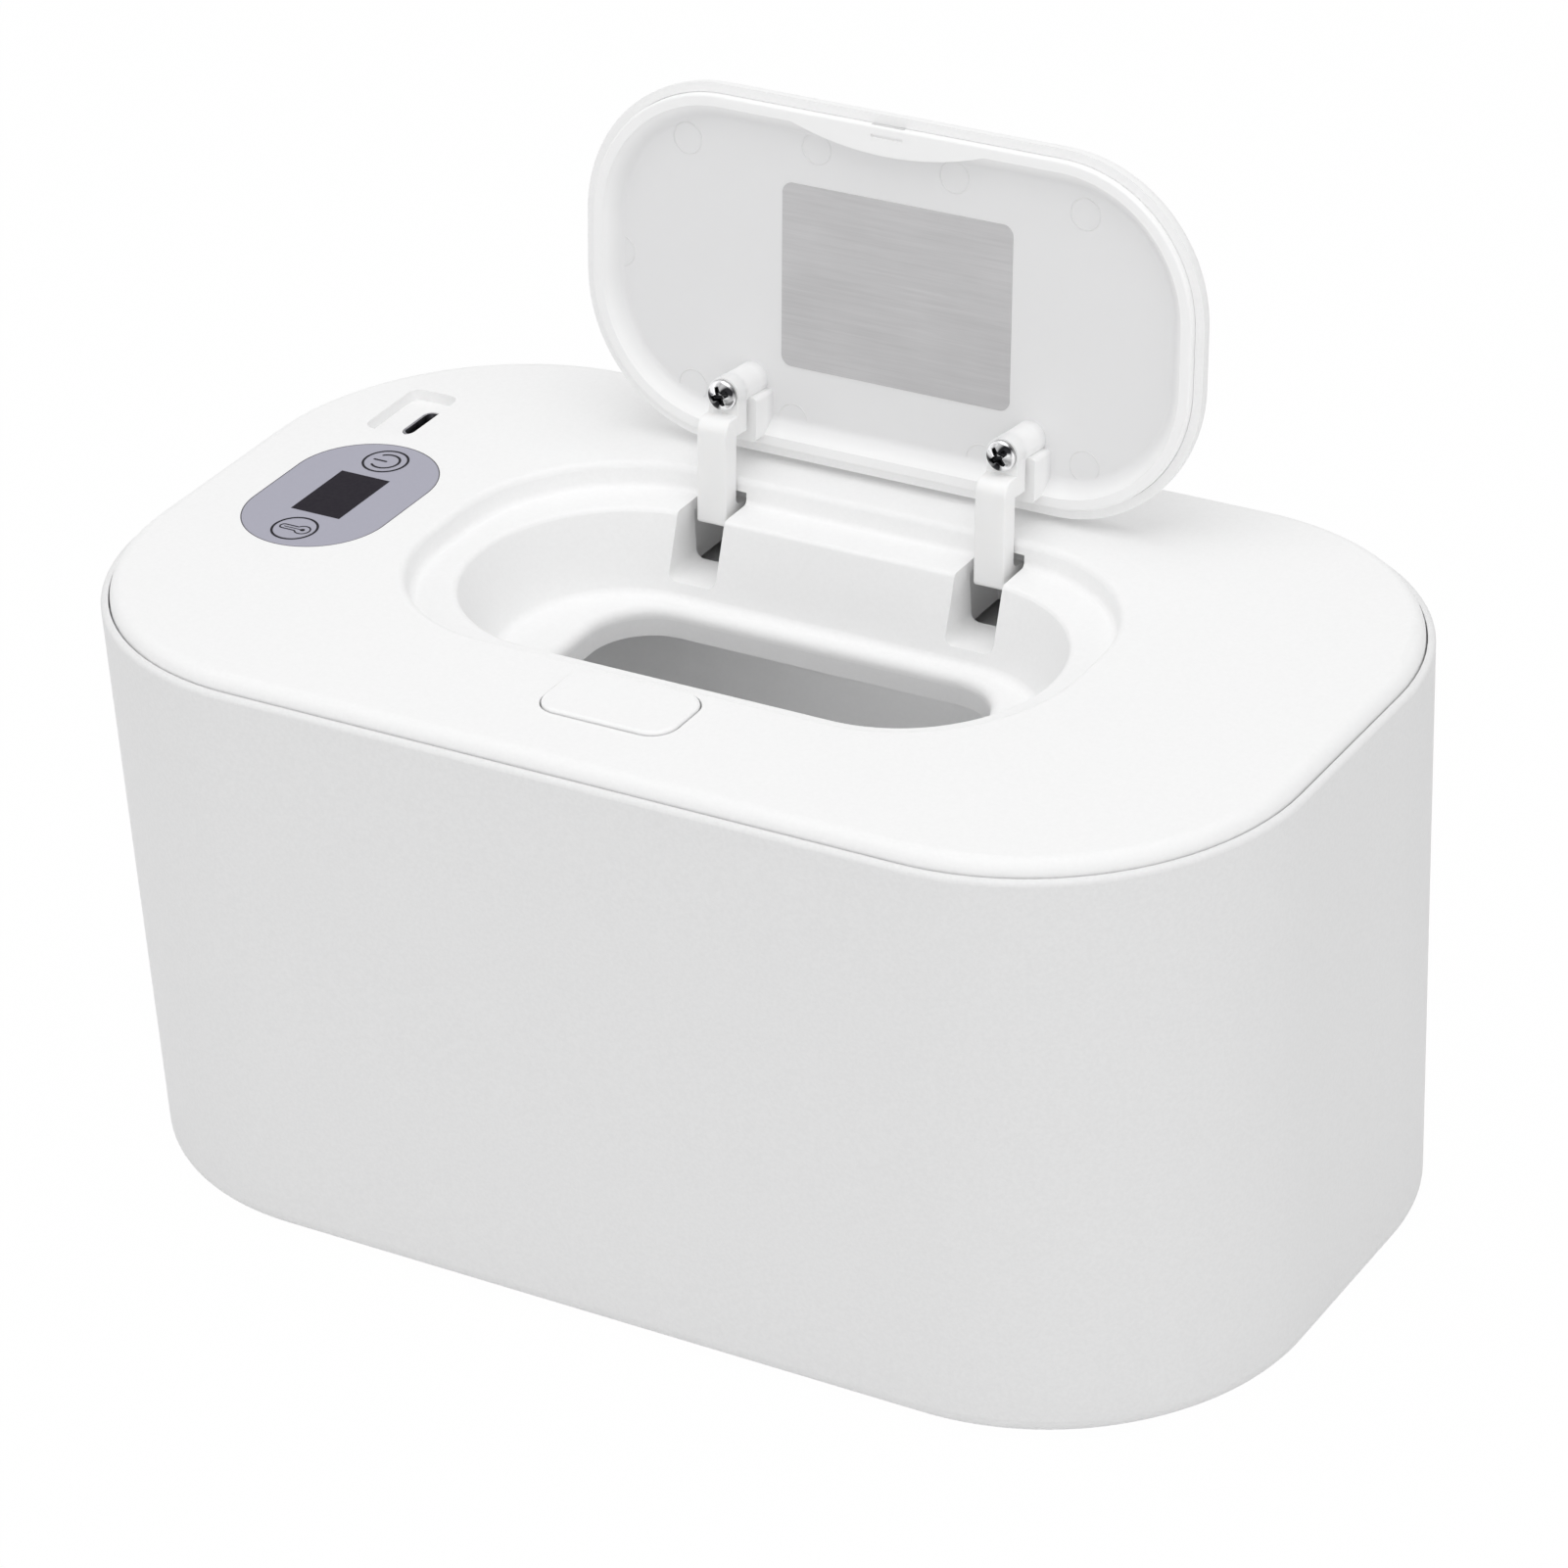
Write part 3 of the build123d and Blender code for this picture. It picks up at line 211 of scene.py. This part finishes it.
def pieceFrom(name, surfaces, material, body, shade=None, smooth=True):
    # joins grids of points in mm into one mesh: each grid is (points, wrapped rows, wrapped columns), and
    # neighbouring points make a quad; doubles merge, so that poles and seams close
    places, faces, base = [], [], 0
    for points, wrapRows, wrapColumns in surfaces:
        rows, columns = points.shape[:2]
        a, b = np.meshgrid(np.arange(rows - (not wrapRows)), np.arange(columns - (not wrapColumns)),
                           indexing="ij")
        c, d = (a + 1) % rows, (b + 1) % columns
        quads = np.stack((a * columns + b, c * columns + b, c * columns + d, a * columns + d), -1)
        faces.append(quads.reshape(-1, 4) + base)
        places.append(points.reshape(-1, 3))
        base += rows * columns
    vertices = np.concatenate(places) * mm
    mesh = bpy.data.meshes.new(name)
    mesh.from_pydata(vertices.tolist(), [], np.concatenate(faces).tolist())
    if shade is not None:
        layer = mesh.attributes.new("shade", "FLOAT", "POINT")
        layer.data.foreach_set("value", shade.reshape(-1).astype(np.float32))
    work = bmesh.new()
    work.from_mesh(mesh)
    bmesh.ops.remove_doubles(work, verts=work.verts, dist=1e-7)
    bmesh.ops.dissolve_degenerate(work, edges=work.edges, dist=1e-8)
    bmesh.ops.recalc_face_normals(work, faces=work.faces)
    work.to_mesh(mesh)
    work.free()
    mesh.polygons.foreach_set("use_smooth", np.full(len(mesh.polygons), smooth))
    mesh.materials.append(material)
    piece = bpy.data.objects.new(name, mesh)
    scene.collection.objects.link(piece)
    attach(piece, body)
    return piece


def stroke(path, width, low, high, closed=False):
    # a flat band along a path in the x-y plane: four corners of a section set off along the path's normal;
    # an open band narrows at both ends as the square root of a circle, so that they are round
    ahead = (np.roll(path, -1, 0) - np.roll(path, 1, 0)) if closed else np.gradient(path, axis=0)
    ahead = ahead / np.linalg.norm(ahead, axis=1, keepdims=True)
    normal = np.stack((-ahead[:, 1], ahead[:, 0]), -1)
    half = np.full(len(path), width / 2)
    if not closed:
        run = np.concatenate(([0], np.cumsum(np.linalg.norm(np.diff(path, axis=0), axis=1))))
        edge = np.minimum(run, run[-1] - run)
        half = np.where(edge < width / 2, np.sqrt(np.clip(edge * (width - edge), 0, None)), half)
    left, right = path + normal * half[:, None], path - normal * half[:, None]
    rim = [np.column_stack((p, np.full(len(path), z))) for p, z in
           ((left, low), (left, high), (right, high), (right, low))]
    return np.stack(rim, 1), closed, True


def arc(centre, radius, start, end, count):
    # points of a circle's arc between two angles in degrees
    turn = np.radians(np.linspace(start, end, count))
    return np.stack((centre[0] + radius * np.cos(turn), centre[1] + radius * np.sin(turn)), -1)


def line(start, end, width, count=9):
    # points of a straight run, closer together over the round ends
    length = np.hypot(end[0] - start[0], end[1] - start[1])
    share = np.linspace(0, 1, count) ** 1.5 * min(0.5, width / 2 / length)
    share = np.concatenate((share, 1 - share[::-1]))
    return np.outer(1 - share, start) + np.outer(share, end)


def ring(centre, radius, count=72):
    return arc(centre, radius, 0, 360 - 360 / count, count)


def roundedOutline(length, width, corner, count=96):
    # a rounded rectangle: a circle whose quarters are pushed out to the four corners
    turn = (np.arange(count) + 0.5) * 2 * pi / count
    x = np.sign(np.cos(turn)) * (length / 2 - corner) + corner * np.cos(turn)
    y = np.sign(np.sin(turn)) * (width / 2 - corner) + corner * np.sin(turn)
    return np.stack((x, y), -1)


# ---- control panel print

panelPrint = {
    "iconPlace": 13.4,              # mm from the panel's middle to each icon
    "ringRadius": 3.8,
    "lineWidth": 0.42,
    "arcRadius": 2.4,
    "arcOpen": 42,                  # degrees each side of the gap in the power sign
    "strokeEnds": (-2.4, 0.3),      # the power sign's short stroke
    "tip": -2.1,                    # thermometer: along x from the icon's middle
    "bulb": 1.55,
    "bulbRadius": 1.32,
    "stemHalf": 0.68,
    "outlineShare": 0.62,           # of the line width
    "columnShare": 0.42,
    "dot": 0.8,
    "dotReach": 0.42,
    "ink": (0.012, 0.011, 0.015),
    "sunk": 0.01,
    "proud": 0.03,
    # colour of a dark band in the gap round the panel: painted shade in that gap
    "seamShade": (0.10, 0.097, 0.11),
    "seamWidth": 0.16,
    "seamGap": 0.12,                # from the panel's edge to the middle of the seam
    "seamSunk": 0.05,
    "seamProud": 0.005,
}


def addPanelPrint():
    p = panelPrint
    (left, front, _), (right, rear, top) = np.array(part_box("control_panel")) / mm
    x, y, w = (left + right) / 2, p["iconPlace"], p["lineWidth"]
    low, high = top - p["sunk"], top + p["proud"]
    ink = mouldedPlastic("iconInk", p["ink"], 0.45, grain=0.05, tone=0.003, IOR=1.15)
    start, end = p["strokeEnds"]
    power = [stroke(ring((x, y), p["ringRadius"]), w, low, high, True),
             stroke(arc((x, y), p["arcRadius"], -180 + p["arcOpen"], 180 - p["arcOpen"], 60), w, low, high),
             stroke(line((x + start, y), (x + end, y), w), w, low, high)]
    pieceFrom("powerIcon", power, ink, "cover", smooth=False)
    # the thermometer's outline: round tip, two stem sides, and the bulb's arc between them
    tip, bulb, half, radius = x + p["tip"], x + p["bulb"], p["stemHalf"], p["bulbRadius"]
    meet = np.degrees(np.arcsin(half / radius))
    outline = np.concatenate((arc((tip, -y), half, 90, 270, 16),
                              arc((bulb, -y), radius, 180 + meet, 540 - meet, 40)))
    dot, reach = p["dot"], p["dotReach"]
    thermometer = [stroke(ring((x, -y), p["ringRadius"]), w, low, high, True),
                   stroke(outline, w * p["outlineShare"], low, high, True),
                   stroke(line((tip, -y), (bulb, -y), w), w * p["columnShare"], low, high),
                   stroke(line((bulb - reach, -y), (bulb + reach, -y), dot, 12), dot, low, high)]
    pieceFrom("thermometerIcon", thermometer, ink, "cover", smooth=False)
    # a dark strip set into the gap between the panel and the deck: painted shade in that gap
    length, width = right - left + 2 * p["seamGap"], rear - front + 2 * p["seamGap"]
    edge = roundedOutline(length, width, length / 2 - 0.001, 160) + (x, 0)
    seamShade = mouldedPlastic("panelSeamShade", p["seamShade"], 0.6, grain=0.05, tone=0.01)
    band = stroke(edge, p["seamWidth"], top - p["seamSunk"], top + p["seamProud"], True)
    pieceFrom("panelSeamShade", [band], seamShade, "cover", smooth=False)
    print("panel print made")


# ---- label place and moulding marks under the lid

label = {
    "centre": (0.7, 0.2),
    "size": (42.8, 31.7, 1.9),
    "thickness": 0.12,
    "edge": 0.04,                  # width and depth of the plate's broken edge
    "sunk": 0.01,
    "colour": (0.555, 0.55, 0.557),
    "bed": 102.4,                  # mm: height of the tray on the closed lid
}

ejectorMarks = {
    "radius": 2.65,
    "width": 0.22,
    "proud": 0.045,
    "sunk": 0.01,
    "places": [(-38.8, -19.8), (-14.4, -22.2), (11.2, -21.9), (35.0, -20.0), (-51.8, 2.0), (-37.7, 23.0),
               (-18.4, 25.3), (17.0, 25.3), (36.0, 22.6)],
}


def addLabel():
    # rows of the plate: its outline at the bed, at the face, a hair further in, and a pole in the middle
    length, width, corner = label["size"]
    bed, face, cut = label["bed"] + label["sunk"], label["bed"] - label["thickness"], label["edge"]
    rows = []
    for inset, height in ((0, bed), (0, face + cut), (cut, face)):
        rim = roundedOutline(length - 2 * inset, width - 2 * inset, corner - inset)
        rows.append(np.column_stack((rim + label["centre"], np.full(len(rim), height))))
    middle = np.tile((*label["centre"], face), (len(rows[0]), 1))
    plate = opened(np.stack(rows + [middle]))
    material, tree, shader = newMaterial("brushedLabel", label["colour"], 0.42, Metallic=0.25)
    streak = noiseOn(tree, 60, 5.0, (1, 30, 30), 0.62)
    cloud = noiseOn(tree, 70, 3.0)
    tone = tree.nodes.new("ShaderNodeMix")
    tone.data_type = "RGBA"
    tone.inputs["Factor"].default_value = 0.45
    colour = label["colour"]
    tree.links.new(ramp(tree, streak, shift(colour, -0.10), shift(colour, 0.08), 0.2, 0.8), tone.inputs["A"])
    tree.links.new(ramp(tree, cloud, shift(colour, -0.03), shift(colour, 0.03)), tone.inputs["B"])
    tree.links.new(tone.outputs["Result"], shader.inputs["Base Color"])
    bumpOn(tree, shader, streak, 0.1, 0.00002)
    pieceFrom("labelPlate", [(plate, False, True)], material, "lid", smooth=False)
    print("label place made")


def addEjectorMarks(materials):
    # each mark is a low closed band along a circle on the tray
    e = ejectorMarks
    marks = []
    for place in e["places"]:
        band, rows, columns = stroke(ring(place, e["radius"], 48), e["width"], label["bed"] - e["proud"],
                                     label["bed"] + e["sunk"], True)
        marks.append((opened(band), rows, columns))
    pieceFrom("ejectorMarks", marks, materials["white_liner"], "lid")
    print("moulding marks made")


# ---- cross-head screws of the arms

screwHead = {
    "places": ((-26.1, 19.45), (26.1, 19.45)),
    "seat": 92.85,                 # mm: underside of the head on the closed lid
    "radius": 2.6,
    "height": 1.55,
    "edge": 0.55,                  # straight rim under the dome
    "crossReach": 1.75,
    "crossHalf": 0.40,
    "crossDepth": 1.1,
    "crossBlend": 0.22,            # from an arm's floor up to the dome, across it and at its end
    "endBlend": 0.35,
    "narrowing": 0.45,             # share that an arm loses along its reach
    "shallowing": 0.35,
    "dimple": (0.45, 0.85),        # radii of the round floor in the middle
    "domeCurve": 0.62,
    # radii over which the rim gets a painted highlight
    "rimHighlight": (2.2, 2.5),
    "turns": (24, 38),             # degrees that each cross is turned
    "shank": (1.26, 8.0),
}


def smoothStep(value, start, end):
    t = np.clip((value - start) / (end - start), 0, 1)
    return t * t * (3 - 2 * t)


def addScrewHeads():
    # a dome over polar rows: height falls as the square of the radius; the cross is cut where the smaller of
    # |u| and |v| is inside an arm that narrows outwards; the last rows go down the rim, the seat and the
    # shank
    h = screwHead
    surfaces, paintedReflections = [], []
    turn = np.arange(120) * 2 * pi / 120
    radii = h["radius"] * np.sin(np.linspace(0, pi / 2, 44))
    r, t = np.meshgrid(radii, turn, indexing="ij")
    u, v = r * np.cos(t), r * np.sin(t)
    near, far = np.minimum(abs(u), abs(v)), np.maximum(abs(u), abs(v))
    reach = h["crossReach"]
    half = h["crossHalf"] * (1 - h["narrowing"] * far / reach)
    cut = 1 - smoothStep(near, half, half + h["crossBlend"])
    cut *= 1 - smoothStep(far, reach - h["endBlend"], reach)
    cut = np.maximum(cut, 1 - smoothStep(r, *h["dimple"]))
    rise = h["height"] - h["edge"]
    dome = h["edge"] + rise * (1 - (r / h["radius"]) ** 2) ** h["domeCurve"]
    dome -= h["crossDepth"] * cut * (1 - h["shallowing"] * far / reach)
    shank, length = h["shank"]
    tail = [(h["radius"], 0.0), (shank, 0.0), (shank, 0.6 - length), (shank * 0.3, -length), (0.0, -length)]
    tailRadii, tailHeights = np.array(tail).T
    allRadii = np.concatenate((r, np.tile(tailRadii[:, None], (1, len(turn)))))
    heights = np.concatenate((dome, np.tile(tailHeights[:, None], (1, len(turn)))))
    allTurns = np.tile(turn, (len(allRadii), 1))
    # painted reflection and shade: bright and dark fans round the head stand in for the surroundings
    # mirrored in the chrome, the cross is darkened as painted shade in its recess, and the rim gets a
    # painted highlight
    reflectionFans = 0.5 + 0.34 * np.cos(2 * t + 1.2 + 0.7 * r) + 0.24 * np.cos(5 * t - 0.6 + 1.4 * r)
    tone = np.clip(reflectionFans - 0.1 - 0.5 * cut + 0.35 * smoothStep(r, *h["rimHighlight"]), 0.02, 1)
    tone = np.concatenate((tone, np.full((len(tail), len(turn)), 0.6)))
    for (x, y), angle in zip(h["places"], h["turns"]):
        a = allTurns + radians(angle)
        points = np.stack((x + allRadii * np.cos(a), y - allRadii * np.sin(a), h["seat"] - heights), -1)
        surfaces.append((opened(points), False, True))
        paintedReflections.append(tone.reshape(-1))
    material, tree, shader = newMaterial("chromeWithPaintedReflection", (0.8, 0.8, 0.8), 0.10, Metallic=1.0)
    # the chrome's base colour follows the painted reflection and shade in the shade attribute, from near
    # black to near white
    layer = tree.nodes.new("ShaderNodeAttribute")
    layer.attribute_name = "shade"
    tree.links.new(ramp(tree, layer.outputs["Fac"], (0.018, 0.018, 0.02), (0.92, 0.92, 0.93), 0.15, 0.8),
                   shader.inputs["Base Color"])
    bumpOn(tree, shader, noiseOn(tree, 900, 3.0), 0.05, 0.00002)
    heads = pieceFrom("armScrewHeads", surfaces, material, "lid", np.concatenate(paintedReflections))
    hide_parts("arm_screws")
    print("screw heads made")


# ---- materials

def newMaterial(name, colour, roughness, **sockets):
    # a principled material with its constants on the shader's own sockets, with its tree and shader
    material = bpy.data.materials.new(name)
    material.use_nodes = True
    tree = material.node_tree
    shader = next(n for n in tree.nodes if n.type == "BSDF_PRINCIPLED")
    shader.inputs["Base Color"].default_value = (*colour, 1)
    shader.inputs["Roughness"].default_value = roughness
    for socket, value in sockets.items():
        shader.inputs[socket].default_value = value
    return material, tree, shader


def noiseOn(tree, scale, detail=3.0, stretch=(1, 1, 1), rough=0.5):
    # object-space noise with its own scale, stretched per axis by a mapping
    place = tree.nodes.new("ShaderNodeTexCoord")
    mapping = tree.nodes.new("ShaderNodeMapping")
    mapping.inputs["Scale"].default_value = stretch
    noise = tree.nodes.new("ShaderNodeTexNoise")
    noise.inputs["Scale"].default_value = scale
    noise.inputs["Detail"].default_value = detail
    noise.inputs["Roughness"].default_value = rough
    tree.links.new(place.outputs["Object"], mapping.inputs["Vector"])
    tree.links.new(mapping.outputs[0], noise.inputs["Vector"])
    return noise.outputs["Fac"]


def ramp(tree, factor, low, high, start=0.35, end=0.65):
    # colours low to high as the factor goes from start to end
    node = tree.nodes.new("ShaderNodeValToRGB")
    node.color_ramp.elements[0].position = start
    node.color_ramp.elements[0].color = (*low, 1)
    node.color_ramp.elements[1].position = end
    node.color_ramp.elements[1].color = (*high, 1)
    tree.links.new(factor, node.inputs["Fac"])
    return node.outputs["Color"]


def bumpOn(tree, shader, height, strength, distance):
    bump = tree.nodes.new("ShaderNodeBump")
    bump.inputs["Strength"].default_value = strength
    bump.inputs["Distance"].default_value = distance
    tree.links.new(height, bump.inputs["Height"])
    tree.links.new(bump.outputs[0], shader.inputs["Normal"])


def shift(colour, amount):
    return tuple(min(1.0, max(0.0, c + amount)) for c in colour)


def mouldedPlastic(name, colour, roughness=0.5, grain=0.5, tone=0.012, grainScale=2600, **sockets):
    # moulded plastic: a fine spark-eroded grain as bump, and a faint speckle of tone
    material, tree, shader = newMaterial(name, colour, roughness, **sockets)
    speckle = noiseOn(tree, 1500, 3.0, rough=0.6)
    tree.links.new(ramp(tree, speckle, shift(colour, -tone), shift(colour, tone * 0.4)),
                   shader.inputs["Base Color"])
    fine = noiseOn(tree, grainScale, 2.0, rough=0.6)
    bumpOn(tree, shader, fine, grain, 0.00003)
    return material


def metal(name, colour, roughness, scale=900, stretch=(1, 1, 1), spread=0.12, bump=0.15):
    # bare metal: roughness and tone streaked along one axis by the stretch
    material, tree, shader = newMaterial(name, colour, roughness, Metallic=1.0)
    streak = noiseOn(tree, scale, 3.0, stretch)
    low, high = shift(colour, -spread), shift(colour, spread * 0.5)
    tree.links.new(ramp(tree, streak, low, high), shader.inputs["Base Color"])
    bumpOn(tree, shader, streak, bump, 0.00002)
    return material


def nylon(name, colour, roughness):
    # natural nylon: a little light goes through it
    material, tree, shader = newMaterial(name, colour, roughness, **{"Subsurface Weight": 0.35})
    shader.inputs["Subsurface Radius"].default_value = (1.0, 0.95, 0.9)
    shader.inputs["Subsurface Scale"].default_value = 0.003
    bumpOn(tree, shader, noiseOn(tree, 1800, 2.0), 0.12, 0.00003)
    return material


liner = {
    "ringColour": (0.945, 0.945, 0.945),
    "trayPaintedShade": (0.825, 0.825, 0.829),
    "ringHeight": 1.2,     # mm above the hinge pin's axis, across the lid
    "trayHeight": 3.8,
    "ringBlend": 0.6,      # how far above the ring and below the tray the tone changes
    "trayBlend": 0.1,
}


def linerPlastic():
    # the liner's tray is painted a shade darker than its ring, as painted shade down in the recess: the tone
    # follows the height across the lid, which is the dot product of the place and the lid's own upward
    # direction
    material, tree, shader = newMaterial("whiteLiner", liner["trayPaintedShade"], 0.38)
    place = tree.nodes.new("ShaderNodeTexCoord")
    dot = tree.nodes.new("ShaderNodeVectorMath")
    dot.operation = "DOT_PRODUCT"
    across = (0.0, sin(hinge["open"]), cos(hinge["open"]))
    dot.inputs[1].default_value = across
    base = across[1] * hinge["y"] + across[2] * hinge["z"]
    span = tree.nodes.new("ShaderNodeMapRange")
    span.inputs["From Min"].default_value = (base + liner["ringHeight"] + liner["ringBlend"]) * mm
    span.inputs["From Max"].default_value = (base + liner["trayHeight"] - liner["trayBlend"]) * mm
    tree.links.new(place.outputs["Object"], dot.inputs[0])
    tree.links.new(dot.outputs["Value"], span.inputs["Value"])
    tree.links.new(ramp(tree, span.outputs[0], liner["ringColour"], liner["trayPaintedShade"], 0.0, 1.0),
                   shader.inputs["Base Color"])
    bumpOn(tree, shader, noiseOn(tree, 2400, 2.0, rough=0.6), 0.15, 0.00003)
    return material


def makeMaterials():
    dull = {"Specular IOR Level": 0.3}
    made = {
        "white_shell": mouldedPlastic("whiteShell", (0.83, 0.83, 0.832), 0.55, grain=0.8, tone=0.02),
        "white_deck": mouldedPlastic("whiteDeck", (0.93, 0.93, 0.93), 0.6, grain=0.4, tone=0.012, **dull),
        "white_inner": mouldedPlastic("whiteInner", (0.88, 0.88, 0.882), 0.42, grain=0.2),
        "white_liner": linerPlastic(),
        "white_button": mouldedPlastic("whiteButton", (0.93, 0.93, 0.93), 0.55, grain=0.2, **dull),
        "slider_plastic": mouldedPlastic("sliderPlastic", (0.74, 0.75, 0.77), 0.35, grain=0.1),
        "arm_nylon": nylon("armNylon", (0.94, 0.94, 0.935), 0.33),
        "panel_grey": mouldedPlastic("panelGrey", (0.365, 0.362, 0.437), 0.34, grain=0.1, tone=0.006),
        "display_black": mouldedPlastic("displayBlack", (0.012, 0.009, 0.016), 0.30, grain=0.02, tone=0.003,
                                        IOR=1.12),
        "display_body": mouldedPlastic("displayBody", (0.06, 0.06, 0.065), 0.5, tone=0.01),
        "component_black": mouldedPlastic("componentBlack", (0.03, 0.03, 0.03), 0.5, tone=0.008),
        "board_green": mouldedPlastic("boardGreen", (0.02, 0.16, 0.07), 0.35, tone=0.015),
        "lead_plastic": mouldedPlastic("leadPlastic", (0.40, 0.03, 0.025), 0.4, tone=0.02),
        "film_amber": mouldedPlastic("filmAmber", (0.55, 0.25, 0.04), 0.25, tone=0.04),
        "foot_rubber": mouldedPlastic("footRubber", (0.45, 0.45, 0.45), 0.75, grain=0.8, tone=0.02),
        "seal_rubber": mouldedPlastic("sealRubber", (0.72, 0.72, 0.72), 0.6, tone=0.02),
        "heat_aluminium": metal("heatAluminium", (0.78, 0.79, 0.80), 0.34, 500, (1, 18, 1)),
        "fuse_metal": metal("fuseMetal", (0.66, 0.66, 0.66), 0.3),
        "screw_steel": metal("screwSteel", (0.58, 0.58, 0.60), 0.3),
        "pin_steel": metal("pinSteel", (0.56, 0.56, 0.57), 0.22, 900, (1, 12, 12)),
        "spring_steel": metal("springSteel", (0.50, 0.50, 0.51), 0.28),
        "socket_steel": metal("socketSteel", (0.30, 0.30, 0.32), 0.3),
        "arm_chrome": metal("armChrome", (0.74, 0.74, 0.75), 0.12, 700, spread=0.05, bump=0.05),
    }
    for entry in frame["record"]["subparts"]:
        data = nodes[entry["node"]].data
        data.materials.clear()
        data.materials.append(made[entry["material_slot"]])
    print("materials made:", len(made))
    return made


addCamera()
addStudio()
addFloor()
materials = makeMaterials()
addPanelPrint()
addLabel()
addEjectorMarks(materials)
addScrewHeads()
